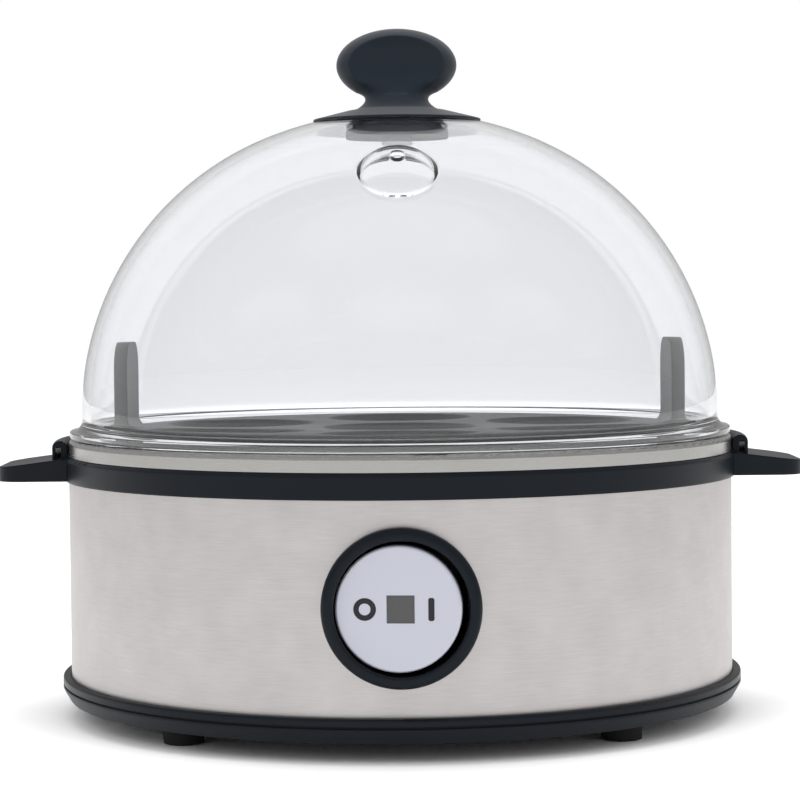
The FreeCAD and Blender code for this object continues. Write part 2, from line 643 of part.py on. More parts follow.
def thermostat():
    cap = solid("Cylinder", "stat_cap_disc", Radius="stat_cap", Height="spreader_thick", z="spreader_base")
    barrel = solid("Cylinder", "stat_barrel", Radius="stat_body", Height="stat_drop", z="stat_base")
    blades = []
    for side in (-1, 1):
        blade = solid("Box", f"stat_blade_{side + 1}", Length="blade_length + cut_over", Width="tab_terminal",
                      Height="blade_thick", y="-tab_terminal / 2", z="stat_base + blade_thick",
                      x="stat_body - cut_over" if side > 0 else "-stat_body - blade_length")
        blades.append(blade)
    return fused("thermostat", cap, barrel, *blades)


def thermostat_strap():
    made = body("thermostat_strap")
    plan = rectangle("strap_length / 2", "strap_width / 2")
    shape = outline(made, "strap_plan", "XY_Plane", plan, "strap_base")
    pad(made, shape, "strap_thick")
    holes = [(f"{side} * strap_screw", "0", "small_screw + fit_gap") for side in (-1, 1)]
    holes.append(("0", "0", "stat_body + fit_gap"))
    round_holes = discs(made, "strap_holes", "XY_Plane", holes, "strap_base")
    pocket(made, round_holes, "strap_thick", back=True)
    return made


def strap_screws():
    screws = [screw(f"strap_screw_{side + 1}", f"{side} * strap_screw", "0", "strap_base - small_head_thick",
                    "small_head", "small_head_thick", "small_screw", "strap_thick + small_bite - rest_gap")
              for side in (-1, 1)]
    return group("strap_screws", screws)


def thermal_fuse():
    made = solid("Cylinder", "thermal_fuse", UPRIGHT_TO_SIDE, Radius="fuse_radius", Height="fuse_length",
                 x="-fuse_length / 2", y="-fuse_offset", z="fuse_height")
    return made


def fuse_clip():
    made = body("fuse_clip")
    inner = "fuse_radius + fit_gap"
    outer = "fuse_radius + fit_gap + clip_thick"
    foot_end = f"-fuse_offset + {outer} + clip_foot"
    shape = outline(made, "clip_profile", "YZ_Plane", [
        (f"-fuse_offset + {inner}", "spreader_base"), (f"-fuse_offset + {inner}", "fuse_height"),
        ("-fuse_offset", f"fuse_height - ({inner})", inner, -1),
        (f"-fuse_offset - ({inner})", "fuse_height", inner, -1), (f"-fuse_offset - ({outer})", "fuse_height"),
        ("-fuse_offset", f"fuse_height - ({outer})", outer, 1),
        (f"-fuse_offset + {outer}", "fuse_height", outer, 1),
        (f"-fuse_offset + {outer}", "spreader_base - clip_thick"), (foot_end, "spreader_base - clip_thick"),
        (foot_end, "spreader_base")])
    pad(made, shape, "clip_width", middle=True)
    hole = [("0", "clip_screw_y", "small_screw + fit_gap")]
    pocket(made, discs(made, "clip_hole", "XY_Plane", hole, "spreader_base"), "clip_thick")
    return made


def clip_screw():
    return screw("clip_screw", "0", "clip_screw_y", "spreader_base - clip_thick - small_head_thick",
                 "small_head", "small_head_thick", "small_screw", "clip_thick + small_bite - rest_gap")


def switch_bezel():
    made = body("switch_bezel", UPRIGHT_TO_FRONT, z="switch_height")
    revolve(made, outline(made, "bezel_profile", "XZ_Plane", [
        ("bezel_bore", "tube_back"), ("bezel_radius", "tube_back"),
        ("bezel_radius", "bezel_front - bezel_round"),
        ("bezel_radius - bezel_round", "bezel_front", "bezel_round", 1),
        ("bezel_bore + bezel_lip", "bezel_front"),
        ("bezel_bore", "bezel_front - bezel_lip", "bezel_lip", 1)]))
    shell = [("0", "0", "shell_radius + run_gap")]
    pocket(made, discs(made, "shell_relief", "XZ_Plane", shell), "2 * bezel_radius + cut_over", middle=True)
    revolve(made, outline(made, "tube_profile", "XZ_Plane", [
        ("bezel_bore", "tube_back"), ("tube_radius", "tube_back"),
        ("tube_radius", "shell_radius + bezel_stand / 2"),
        ("bezel_bore", "shell_radius + bezel_stand / 2")]))
    return made


def switch_housing():
    made = body("switch_housing", UPRIGHT_TO_FRONT, z="switch_height")
    block = outline(made, "housing_plan", "XY_Plane", rectangle("housing_width / 2", "housing_height / 2"),
                    "housing_back")
    pad(made, block, "housing_depth")
    for side in (-1, 1):
        middle = f"{side} * (post_inner + post_outer) / 2"
        plan = rectangle("lug_half", "ear_post / 2", y=middle)
        post = outline(made, f"post_plan_{side + 1}", "XY_Plane", plan, "tube_back")
        pad(made, post, "pivot + lug_half - tube_back")
    pin = [("0", "pivot", "pin_radius + press_gap")]
    pocket(made, discs(made, "pin_hole", "XZ_Plane", pin), "2 * post_outer + cut_over", middle=True)
    lamp = [("0", "0", "lamp_radius + fit_gap")]
    pocket(made, discs(made, "lamp_hole", "XY_Plane", lamp, "tube_back"), "lamp_seat")
    return made


def switch_terminals():
    blades = [solid("Box", f"switch_blade_{slot + 1}", Length="blade_thick", Width="blade_length",
                    Height="tab_terminal", x=f"{slot} * blade_pitch - blade_thick / 2", y="-housing_back",
                    z="switch_height - tab_terminal / 2") for slot in (-1, 0, 1)]
    return group("switch_terminals", blades)


def indicator_lamp():
    return solid("Cylinder", "indicator_lamp", UPRIGHT_TO_FRONT, Radius="lamp_radius", Height="lamp_length",
                 y="-(tube_back - lamp_seat)", z="switch_height")


def rocker_pin():
    return solid("Cylinder", "rocker_pin", Radius="pin_radius", Height="2 * post_outer", y="-pivot",
                 z="switch_height - post_outer")


def tilted_body(label):
    """A piece of the rocker, drawn about its pivot and rested with its left side pressed in."""
    tilt = Rotation(Vector(0, 0, 1), -val("rocker_tilt"))
    return body(label, tilt.multiply(UPRIGHT_TO_FRONT), y="-pivot", z="switch_height")


def rocker():
    made = tilted_body("rocker")
    back = "pivot_depth - rocker_thick"
    revolve(made, outline(made, "rocker_profile", "XZ_Plane", [
        ("0", back), ("rocker_radius", back), ("rocker_radius", "pivot_depth - rocker_edge"),
        ("rocker_radius - rocker_edge", "pivot_depth", "rocker_edge", 1), ("0", "pivot_depth")]))
    for side in (-1, 1):
        middle = f"{side} * (lug_inner + lug_outer) / 2"
        lug = outline(made, f"lug_plan_{side + 1}", "XY_Plane",
                      rectangle("lug_half", "lug_thick / 2", y=middle), "-lug_half")
        pad(made, lug, f"{back} + lug_half")
    pin = [("0", "0", "pin_radius + run_gap")]
    pocket(made, discs(made, "lug_bore", "XZ_Plane", pin), "2 * lug_outer + cut_over", middle=True)
    half = "window_side / 2 + press_gap"
    frame = outline(made, "window_hole", "XY_Plane", rectangle(half, half, x="window_shift"), "pivot_depth")
    pocket(made, frame, "rocker_thick")
    return made


def indicator_window():
    made = tilted_body("indicator_window")
    half = "window_side / 2"
    pane = outline(made, "window_plan", "XY_Plane", rectangle(half, half, x="window_shift"),
                   "pivot_depth - window_thick")
    pad(made, pane, "window_thick - window_sink")
    return made


def cord_gland():
    made = body("cord_gland")
    low = "lip_top + fit_gap"
    flange = "gland_neck + gland_flange"
    inside = "shell_bore - gland_flange"
    stages = [("inner_flange", flange, f"{inside} - gland_tail", "gland_tail"),
              ("neck", "gland_neck", f"{inside} - gland_tail", "gland_tail + gland_flange + bezel_stand"),
              ("outer_flange", flange, "shell_radius + run_gap", "bezel_stand - run_gap")]
    for name, half, start, length in stages:
        plan = outline(made, "gland_" + name, "XZ_Plane", tombstone(half, low), f"-({start})")
        pad(made, plan, length, back=True)
    bore = [("0", "gland_height", "gland_bore")]
    pocket(made, discs(made, "cord_bore", "XZ_Plane", bore), "bezel_front + cut_over")
    return made


def terminal_block():
    made = body("terminal_block")
    plan = rectangle("block_width / 2", "block_depth / 2", y="block_reach")
    pad(made, outline(made, "block_plan", "XY_Plane", plan, "floor_top"), "block_height")
    ways = [(f"{slot} * block_pitch", "floor_top + block_way", "block_hole / 2") for slot in (-1, 0, 1)]
    pocket(made, discs(made, "block_ways", "XZ_Plane", ways), "block_reach + block_depth")
    holes = [(f"{side} * block_screw", "block_reach", "small_screw + fit_gap") for side in (-1, 1)]
    pocket(made, discs(made, "block_holes", "XY_Plane", holes, "floor_top"), "block_height", back=True)
    return made


def block_screws():
    screws = []
    for side in (-1, 1):
        x = f"{side} * block_screw"
        head = solid("Cylinder", f"block_head_{side + 1}", Radius="small_head", Height="small_head_thick",
                     x=x, y="block_reach", z="floor_top + block_height")
        shank = solid("Cylinder", f"block_shank_{side + 1}", Radius="small_screw",
                      Height="block_height + block_bite", x=x, y="block_reach", z="floor_top - block_bite")
        screws.append(fused(f"block_screw_{side + 1}", head, shank))
    return group("block_screws", screws)


def egg_tray():
    made = body("egg_tray")
    under = "tray_top - tray_plate"
    revolve(made, outline(made, "tray_profile", "XZ_Plane", [
        ("0", under), ("tray_radius - tray_skirt", under), ("tray_radius - tray_skirt", "tray_base"),
        ("tray_radius", "tray_base"), ("tray_radius", "tray_top - tray_round"),
        ("tray_radius - tray_round", "tray_top", "tray_round", 1), ("0", "tray_top")]))
    spots = [("0", "0")] + [polar("seat_circle", f"{turn}") for turn in range(30, 390, 60)]
    collars = [(x, y, "seat_radius + seat_wall") for x, y in spots]
    pad(made, discs(made, "seat_collars", "XY_Plane", collars, "seat_base"), "seat_depth")
    holes = [(x, y, "seat_radius") for x, y in spots]
    pocket(made, discs(made, "seat_holes", "XY_Plane", holes, "tray_top"), "tray_plate + seat_depth")
    inner = "tab_reach - tab_thick"
    root = "tray_top - tray_plate / 2"
    tab = pad(made, outline(made, "tab_profile", "XZ_Plane", [
        (f"{inner} - tab_flare", root), ("tab_reach + tab_flare", root),
        ("tab_reach + tab_flare", "tray_top"),
        ("tab_reach", "tray_top + tab_flare", "tab_flare", -1), ("tab_reach", "tray_top + tab_height"),
        (inner, "tray_top + tab_height"), (inner, "tray_top + tab_flare"),
        (f"{inner} - tab_flare", "tray_top", "tab_flare", -1)]), "2 * tab_half", middle=True)
    ring(made, [tab], 2)
    top = val("tray_top")
    summit = val("tray_top + tab_height")
    seat = val("seat_radius")
    round_edges(made, "Fillet", "tab_round", lambda edge: same(edge.BoundBox.ZMin, summit) and
                same(edge.BoundBox.YLength, 0))
    round_edges(made, "Chamfer", "seat_flare", lambda edge: isinstance(edge.Curve, Part.Circle) and
                same(edge.Curve.Radius, seat) and same(edge.BoundBox.ZMin, top))
    return made


def lid_dome():
    low = "lid_base - lid_spigot"
    lean = ("dome_inset + {0} * sin(crown_angle)", "spring + {0} * cos(crown_angle)")
    outside = body("lid_outside")
    shoulder = [part.format("flank") for part in lean]
    revolve(outside, outline(outside, "lid_outer_profile", "XZ_Plane", [
        ("0", low), ("spigot_face", low), ("spigot_face", "lid_base"), ("flange_radius", "lid_base"),
        ("flange_radius", "flange_top"), ("dome_radius + flange_flare", "flange_top"),
        ("dome_radius", "flange_top + flange_flare", "flange_flare", -1), ("dome_radius", "spring"),
        (*shoulder, "flank", 1), ("0", "dome_top", "crown", 1)]))
    inside = body("lid_inside")
    shoulder = [part.format("(flank - dome_wall)") for part in lean]
    wall = "dome_radius - dome_wall"
    throat = "spigot_face - lid_spigot_wall"
    revolve(inside, outline(inside, "lid_inner_profile", "XZ_Plane", [
        ("0", f"{low} - cut_over"), (throat, f"{low} - cut_over"), (throat, "lid_base"),
        (wall, "flange_top + dome_wall / 2"), (wall, "spring"), (*shoulder, "flank - dome_wall", 1),
        ("0", "dome_top - dome_wall", "crown - dome_wall", 1)]))
    ball_y = "-(vent_out - vent_sink * sin(vent_angle))"
    ball_z = "vent_up - vent_sink * cos(vent_angle)"
    blister = solid("Sphere", "vent_blister", Radius="vent_ball", y=ball_y, z=ball_z)
    hollow = solid("Sphere", "vent_hollow", Radius="vent_ball - vent_wall", y=ball_y, z=ball_z)
    hole = solid("Cylinder", "steam_hole", Rotation(Vector(1, 0, 0), val("vent_angle")), Radius="vent_hole",
                 Height="vent_ball + cut_over", y=ball_y, z=ball_z)
    screw_hole = solid("Cylinder", "lid_screw_hole", Radius="knob_screw + fit_gap", Height="2 * dome_wall",
                       z="dome_top - 1.5 * dome_wall")
    return cut("lid_dome", fused("lid_filled", outside, blister), inside, hollow, hole, screw_hole)


def lid_knob():
    stem = body("knob_stem")
    edge_z = "crown_centre + sqrt((crown + run_gap) ^ 2 - knob_foot ^ 2)"
    flare_out = "neck_radius + neck_flare"
    flare_z = f"crown_centre + sqrt((crown + run_gap) ^ 2 - ({flare_out}) ^ 2) + knob_edge + foot_swell"
    revolve(stem, outline(stem, "knob_profile", "XZ_Plane", [
        ("0", "dome_top + run_gap"), ("knob_foot", edge_z, "crown + run_gap", -1),
        ("knob_foot", f"{edge_z} + knob_edge"), (flare_out, flare_z),
        ("neck_radius", f"{flare_z} + neck_flare", "neck_flare", -1),
        ("neck_radius", "knob_centre - neck_drop"),
        ("0", "knob_centre - neck_drop + neck_crown",
         "(neck_radius ^ 2 + neck_crown ^ 2) / (2 * neck_crown)", 1)]))
    head = solid("Ellipsoid", "knob_head", Radius1="knob_half_height", Radius2="knob_half_width",
                 Radius3="knob_half_depth", z="knob_centre")
    dishes = [solid("Ellipsoid", f"knob_dish_{side + 1}", Radius1="dish_tall", Radius2="dish_wide",
                    Radius3="dish_deep", y=f"{side} * (dish_deep + dish_floor)", z="knob_centre")
              for side in (-1, 1)]
    hole = solid("Cylinder", "knob_screw_hole", Radius="knob_screw + press_gap",
                 Height="screw_bite + dome_wall", z="dome_top - dome_wall")
    return cut("lid_knob", fused("knob_filled", cut("knob_dished", head, *dishes), stem), hole)


def knob_gasket():
    made = body("knob_gasket")
    washer = [("0", "0", "gasket_radius"), ("0", "0", "knob_screw + fit_gap")]
    pad(made, discs(made, "gasket_plan", "XY_Plane", washer, "retainer_top"), "gasket_thick")
    return made


def knob_retainer():
    made = body("knob_retainer")
    washer = [("0", "0", "retainer_radius"), ("0", "0", "knob_screw + fit_gap")]
    pad(made, discs(made, "retainer_plan", "XY_Plane", washer, "retainer_base"), "retainer_thick")
    return made


def knob_screw():
    return screw("knob_screw", "0", "0", "retainer_base - screw_head_thick", "screw_head", "screw_head_thick",
                 "knob_screw", "dome_top + screw_bite - retainer_base - rest_gap")


LEAD_SHARE = 0.45


def lead(label, *spots):
    """An insulated lead along points, its corners rounded by arcs as large as the runs allow."""
    points = [Vector(*(val(formula) for formula in spot)) for spot in spots]
    edges = []
    start = points[0]
    for before, corner, after in zip(points, points[1:], points[2:]):
        back = (before - corner).normalize()
        ahead = (after - corner).normalize()
        half_turn = (math.pi - back.getAngle(ahead)) / 2
        reach = LEAD_SHARE * min((before - corner).Length, (after - corner).Length)
        radius = reach / math.tan(half_turn)
        centre = corner + (back + ahead).normalize() * (radius / math.cos(half_turn))
        middle = centre + (corner - centre).normalize() * radius
        edges.append(Part.LineSegment(start, corner + back * reach).toShape())
        edges.append(Part.Arc(corner + back * reach, middle, corner + ahead * reach).toShape())
        start = corner + ahead * reach
    edges.append(Part.LineSegment(start, points[-1]).toShape())
    return swept(label, Part.Wire(edges), val("lead_radius"))


def inner_leads():
    """The leads between the terminal block, the switch, the fuse, the thermostat and the element.

    They run in lanes beside the block and the thermostat, with a straight run before each end."""
    blade_end = "-(housing_back - blade_length)"
    block_face = "block_reach - block_depth / 2"
    way = "floor_top + block_way"
    stat_end = "stat_body + blade_length"
    stat_z = "stat_base + blade_thick * 1.5"
    left_x, left_y = [f"{number}" for number in leg_spot(-1)[1][:2]]
    right_x, right_y = [f"{number}" for number in leg_spot(1)[1][:2]]
    pin_z = "leg_base - sleeve_length - pole_length"
    pin_low = f"{pin_z} - lead_sag / 2"
    stud_end = "seal_top - stud_length"
    beside_block = "block_width / 2 + lead_sag"
    fuse = ("-fuse_offset", "fuse_height")
    stud_x, stud_y = polar("stud_circle", "stud_turn")
    return [
        lead("live_lead", ("-block_pitch", block_face, way),
             ("-block_pitch", f"{block_face} - lead_run / 2", way), (f"{left_x} - lead_run", left_y, way),
             ("-lead_lane", "lead_sag", "floor_top + lead_run"),
             ("-lead_lane", "-2 * lead_run", "switch_height - 2 * lead_sag"),
             ("-blade_pitch", f"{blade_end} + lead_run", "switch_height"),
             ("-blade_pitch", f"{blade_end} + run_gap", "switch_height")),
        lead("switched_lead", ("blade_pitch", f"{blade_end} + run_gap", "switch_height"),
             ("blade_pitch", f"{blade_end} + lead_sag", "switch_height"),
             ("lead_lane", f"({blade_end} - fuse_offset) / 2", "fuse_height - lead_run"),
             ("lead_lane", "-fuse_offset", "fuse_height - lead_sag"), ("fuse_length / 2 + lead_sag", *fuse),
             ("fuse_length / 2", *fuse)),
        lead("fuse_lead", ("-fuse_length / 2", *fuse), ("-fuse_length / 2 - lead_sag", *fuse),
             ("-lead_lane", "lead_sag - fuse_offset", "fuse_height - lead_sag"),
             (f"-({stat_end}) - lead_sag", "-lead_run", stat_z), (f"-({stat_end}) - lead_sag", "0", stat_z),
             (f"-({stat_end})", "0", stat_z)),
        lead("thermostat_lead", (stat_end, "0", stat_z), (f"{stat_end} + lead_sag", "0", stat_z),
             ("lead_lane + lead_run", "lead_run", "stat_base - lead_sag / 2"),
             ("lead_lane + lead_sag", "3 * lead_sag", f"({pin_z} + stat_base) / 2"),
             (f"{right_x} + lead_run", f"{right_y} - lead_run", pin_low),
             (f"{right_x} + lead_sag / 2", f"{right_y} - lead_sag / 3", f"(floor_top + {pin_z}) / 2"),
             (right_x, right_y, pin_low), (right_x, right_y, pin_z)),
        lead("neutral_lead", (left_x, left_y, pin_z), (left_x, left_y, pin_low),
             (f"{left_x} + lead_sag / 2", f"{left_y} + lead_radius", f"{way} + lead_radius"),
             ("0", f"{block_face} - lead_sag / 2", way), ("0", block_face, way)),
        lead("earth_lead", (stud_x, stud_y, stud_end), (stud_x, stud_y, f"{stud_end} - lead_sag"),
             ("lead_run", "stud_circle - lead_sag", f"{stud_end} - 2 * lead_run"),
             (beside_block, "block_reach + lead_sag", f"{way} + 2 * lead_sag"),
             (beside_block, "block_reach - lead_sag", f"{way} + lead_sag / 2"),
             ("lead_lane", f"{block_face} - lead_run", way), ("block_pitch", f"{block_face} - lead_sag", way),
             ("block_pitch", block_face, way)),
    ]


PIECES = [
    base_cover, rubber_feet, cover_screws, body_shell, handle_collar, heating_pan, pan_seal, pan_nuts,
    heat_spreader, heating_element, element_pins, element_insulators, thermostat, thermostat_strap,
    strap_screws, thermal_fuse, fuse_clip, clip_screw, switch_bezel, switch_housing, switch_terminals,
    indicator_lamp, rocker_pin, rocker, indicator_window, cord_gland, terminal_block, block_screws, egg_tray,
    lid_dome, lid_knob, knob_gasket, knob_retainer, knob_screw]
nodes = [make() for make in PIECES] + inner_leads()
doc.recompute()

failed = [thing.Name for thing in doc.Objects if "Invalid" in thing.State or "Error" in thing.State]
failed += [node.Name for node in nodes if node.Shape.isNull() or not node.Shape.isValid()]
if failed:
    raise ValueError("failed: " + ", ".join(failed))
os.makedirs("parts", exist_ok=True)
for node in nodes:
    node.Shape.exportStep(f"parts/{node.Label}.step")
    print(f"{node.Label}: {len(node.Shape.Solids)} solids, {node.Shape.Volume:.1f} mm3")
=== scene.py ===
# %% [markdown]
# # Dressing an egg cooker
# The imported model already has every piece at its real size. This lesson gives the pieces their
# finishes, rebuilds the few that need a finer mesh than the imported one, and photographs the result
# in a white studio. Everything is in metres, in the model's own frame: +Z is up, and the switch
# looks towards -Y.

# %% Load the model
import math

import bmesh
import bpy
from mathutils import Matrix, Vector


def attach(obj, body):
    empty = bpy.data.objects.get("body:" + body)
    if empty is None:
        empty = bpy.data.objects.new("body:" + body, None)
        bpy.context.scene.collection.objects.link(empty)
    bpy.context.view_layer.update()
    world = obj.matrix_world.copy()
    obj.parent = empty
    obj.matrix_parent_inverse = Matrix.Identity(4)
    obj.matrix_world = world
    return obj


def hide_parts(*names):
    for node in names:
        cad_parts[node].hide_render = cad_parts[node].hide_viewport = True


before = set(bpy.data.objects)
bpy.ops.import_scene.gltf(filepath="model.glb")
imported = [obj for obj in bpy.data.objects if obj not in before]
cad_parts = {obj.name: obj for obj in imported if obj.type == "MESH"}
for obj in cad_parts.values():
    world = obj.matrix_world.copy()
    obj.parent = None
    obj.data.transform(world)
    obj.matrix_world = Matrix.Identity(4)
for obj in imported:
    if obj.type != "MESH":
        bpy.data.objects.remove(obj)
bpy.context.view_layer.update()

MM = 0.001
scene = bpy.context.scene
scene.view_settings.view_transform = "Standard"

# %% [markdown]
# ## The camera
# The photograph was taken from the front with a long lens, a little above the rim of the body and
# tipped down a touch. The distance and the lens were worked out from how the round edges flatten
# into ellipses. The camera leans slightly, which lifts the right ear in the picture.

# %% Camera
CAMERA_PLACE = Vector((0.0001, -0.6395, 0.1013))
CAMERA_PITCH = math.radians(2.465)
CAMERA_ROLL = math.radians(-0.55)
QUARTER_TURN = math.radians(90)
LENS_MM = 120.0
SENSOR_MM = 36.0


def add_camera():
    """A camera that looks towards +Y, tipped down by the pitch and leaning by the roll."""
    data = bpy.data.cameras.new("studio_camera")
    data.lens = LENS_MM
    data.sensor_width = SENSOR_MM
    camera = bpy.data.objects.new("studio_camera", data)
    tip = Matrix.Rotation(QUARTER_TURN - CAMERA_PITCH, 4, "X")
    turn = tip @ Matrix.Rotation(CAMERA_ROLL, 4, "Z")
    camera.matrix_world = Matrix.Translation(CAMERA_PLACE) @ turn
    scene.collection.objects.link(camera)
    scene.camera = camera
    return camera


camera = add_camera()
print("camera", tuple(round(value, 4) for value in camera.location))

# %% [markdown]
# ## Helpers for materials
# A colour is written as the hex value that a picture editor would show, and one function turns it
# into the linear light that the shader works in. Another small function adds a node, sets it up
# and links its inputs, so a material reads as a short list of nodes.

# %% Material helpers
def linear(hex_colour):
    """An sRGB hex colour as linear red, green, blue and alpha."""
    channels = [int(hex_colour[i:i + 2], 16) / 255 for i in (1, 3, 5)]
    return (*[c / 12.92 if c <= 0.04045 else ((c + 0.055) / 1.055) ** 2.4 for c in channels], 1.0)


def new_material(name, **sockets):
    """A material whose Principled shader has the given sockets set."""
    material = bpy.data.materials.new(name)
    material.use_nodes = True
    shader = material.node_tree.nodes["Principled BSDF"]
    for socket, value in sockets.items():
        shader.inputs[socket.replace("_", " ")].default_value = value
    return material


def add_node(material, kind, settings=None, **links):
    """Adds a node. A setting is a property or an input, and a link joins an output to an input."""
    tree = material.node_tree
    node = tree.nodes.new("ShaderNode" + kind)
    for name, value in (settings or {}).items():
        if isinstance(name, str) and hasattr(node, name):
            setattr(node, name, value)
        else:
            node.inputs[name].default_value = value
    for name, output in links.items():
        tree.links.new(output, node.inputs[name.replace("_", " ")])
    return node


def shade(material, **links):
    """Joins outputs to the Principled shader of a material."""
    shader = material.node_tree.nodes["Principled BSDF"]
    for name, output in links.items():
        material.node_tree.links.new(output, shader.inputs[name.replace("_", " ")])


# The Mix node's colour sockets come after its number and vector sockets, so they are reached by
# their place.
COLOUR_A, COLOUR_B, COLOUR_OUT = 6, 7, 2


def cells_per_metre(size_mm):
    """The noise scale whose cells are about this size."""
    return 1000.0 / size_mm


print("steel grey is", [round(c, 3) for c in linear("#C0BEBC")])

# %% [markdown]
# ## Moulded plastics
# The collar, ears, base ring and bezel are injection-moulded ABS with a fine spark-eroded texture
# on the mould, which breaks up the gloss. One flat colour would look like paper. Noise of about the
# size of that grain drives a small bump, and a wider noise varies tone and roughness, as the melt's
# flow does. A Bevel node softens the light on sharp edges, because a mould can't hold a knife edge,
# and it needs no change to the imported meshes.

# %% A moulded plastic
GRAIN_MM = 0.35
GRAIN_DEPTH_MM = 0.05
FLOW_MM = 14.0
FLOW_GLOSS = 0.05
EDGE_MM = 0.5
PLASTIC_IOR = 1.5
PLASTIC_SPECULAR = 0.14


def moulded(name, colour, colour_worn, roughness, bump=0.06):
    """A moulded plastic with a fine grain and slow changes of tone."""
    material = new_material(name, Specular_IOR_Level=PLASTIC_SPECULAR, IOR=PLASTIC_IOR)
    place = add_node(material, "TexCoord").outputs["Object"]
    grain = add_node(material, "TexNoise", {"Scale": cells_per_metre(GRAIN_MM), "Detail": 2.0},
                     Vector=place)
    flow = add_node(material, "TexNoise", {"Scale": cells_per_metre(FLOW_MM), "Detail": 3.0},
                    Vector=place)
    tone = add_node(material, "Mix",
                    {"data_type": "RGBA", COLOUR_A: linear(colour), COLOUR_B: linear(colour_worn)},
                    Factor=flow.outputs["Fac"])
    gloss = add_node(material, "MapRange",
                     {"To Min": roughness - FLOW_GLOSS, "To Max": roughness + FLOW_GLOSS},
                     Value=flow.outputs["Fac"])
    edge = add_node(material, "Bevel", {"samples": 4, "Radius": EDGE_MM * MM})
    relief = add_node(material, "Bump", {"Strength": bump, "Distance": GRAIN_DEPTH_MM * MM},
                      Height=grain.outputs["Fac"], Normal=edge.outputs["Normal"])
    shade(material, Base_Color=tone.outputs[COLOUR_OUT], Normal=relief.outputs["Normal"],
          Roughness=gloss.outputs["Result"])
    return material


print("grain of", GRAIN_MM, "mm, flow marks of", FLOW_MM, "mm")

# %% [markdown]
# The plastics differ in tone, gloss and grain alone, so one recipe serves them all. The knob has
# one thing more: soft-touch paint scatters light at a grazing angle, and the shader's sheen gives
# that.

# %% Moulded plastics
KNOB_SHEEN = 0.2
# Satin ABS: a deep, slightly blue black with a dull, wide gloss.
CASE_BLACK = moulded("case_abs_satin", "#0A0F15", "#0E141B", 0.36)
# Soft-touch paint over plastic: matt, with a faint bloom of light at its edges.
KNOB_BLACK = moulded("knob_soft_touch", "#141C25", "#1A232D", 0.5)
KNOB_BLACK.node_tree.nodes["Principled BSDF"].inputs["Sheen Weight"].default_value = KNOB_SHEEN
# Polypropylene: a waxy dark grey.
TRAY_GREY = moulded("tray_polypropylene_satin", "#18191B", "#202124", 0.45)
# Natural polypropylene with a little grey: a light, dull washer.
RETAINER_GREY = moulded("retainer_polypropylene", "#8C8F94", "#989BA0", 0.5)
# Moulded rubber: coarse grain and almost no gloss.
RUBBER_BLACK = moulded("foot_rubber", "#1B1B1C", "#242425", 0.7, 0.2)
# Phenolic resin, pressed hot: brown-black and half dull.
PHENOLIC = moulded("phenolic_moulding", "#241E1B", "#2E2723", 0.5)
# Silicone rubber: milky grey and soft to the eye.
SEAL_GREY = moulded("silicone_seal", "#B2B2B0", "#BCBCBA", 0.6)
# Fired steatite: off-white and dry.
CERAMIC = moulded("steatite_ceramic", "#DAD6CC", "#E2DFD6", 0.55)
# Varnished glass-fibre sleeving over the leads: straw grey and rough.
SLEEVE = moulded("glass_fibre_sleeve", "#B9AF9F", "#C6BDAE", 0.7, 0.3)
# Silicone sleeving over the earth lead: green with a yellow cast.
EARTH_SLEEVE = moulded("earth_sleeve_silicone", "#6F8A2B", "#7C9636", 0.6)
print("plastics made")

# %% [markdown]
# ## Brushed steel
# The wrap round the body is stainless sheet, brushed lengthwise before it was rolled, so fine
# scratches run round the body. An anisotropic shader would stretch the highlight but draw no lines.
# Noise that is long in X and Y and squeezed along Z gives short lines that follow the wall, and
# they vary colour, roughness and bump together. A wide, faint noise adds the clouds that the
# rolling and wiping of the sheet leave. Real scratches are a few hundredths of a millimetre wide,
# too fine for the picture, so they are drawn coarser here.

# %% A brushed metal
SCRATCH_MM = 0.22
SCRATCH_LENGTH_MM = 6.5
SCRATCH_DEPTH_MM = 0.02
SCRATCH_GLOSS = 0.06
CLOUD_MM = 9.0
CLOUD_SHARE = 0.36


def brushed(name, colour_dark, colour_light, roughness, bump):
    """A metal with scratches that run round an upright axis, and faint clouds."""
    material = new_material(name, Metallic=1.0)
    place = add_node(material, "TexCoord").outputs["Object"]
    along = cells_per_metre(SCRATCH_LENGTH_MM)
    squeeze = add_node(material, "Mapping",
                       {"Scale": (along, along, cells_per_metre(SCRATCH_MM))}, Vector=place)
    lines = add_node(material, "TexNoise", {"Scale": 1.0, "Detail": 4.0, "Roughness": 0.65},
                     Vector=squeeze.outputs["Vector"])
    clouds = add_node(material, "TexNoise", {"Scale": cells_per_metre(CLOUD_MM), "Detail": 2.0},
                      Vector=place)
    blend = add_node(material, "Mix", {"Factor": CLOUD_SHARE}, A=lines.outputs["Fac"],
                     B=clouds.outputs["Fac"])
    tone = add_node(material, "Mix", {"data_type": "RGBA", COLOUR_A: linear(colour_dark),
                                      COLOUR_B: linear(colour_light)},
                    Factor=blend.outputs["Result"])
    gloss = add_node(material, "MapRange",
                     {"To Min": roughness - SCRATCH_GLOSS, "To Max": roughness + SCRATCH_GLOSS},
                     Value=lines.outputs["Fac"])
    relief = add_node(material, "Bump", {"Strength": bump, "Distance": SCRATCH_DEPTH_MM * MM},
                      Height=lines.outputs["Fac"])
    shade(material, Base_Color=tone.outputs[COLOUR_OUT], Normal=relief.outputs["Normal"],
          Roughness=gloss.outputs["Result"])
    return material


print("scratches of", SCRATCH_MM, "mm, clouds of", CLOUD_MM, "mm")

# %% [markdown]
# The other metals are drawn, cast or pressed, which also leaves fine lines, so they share the
# recipe. What tells them apart is their colour and how tight their gloss is.

# %% Metals
# Brushed stainless wrap: a broad, warm grey sheen with fine level lines and faint clouds.
SHELL_STEEL = brushed("wrap_stainless_brushed", "#A09C9B", "#D0CCCB", 0.42, 0.2)
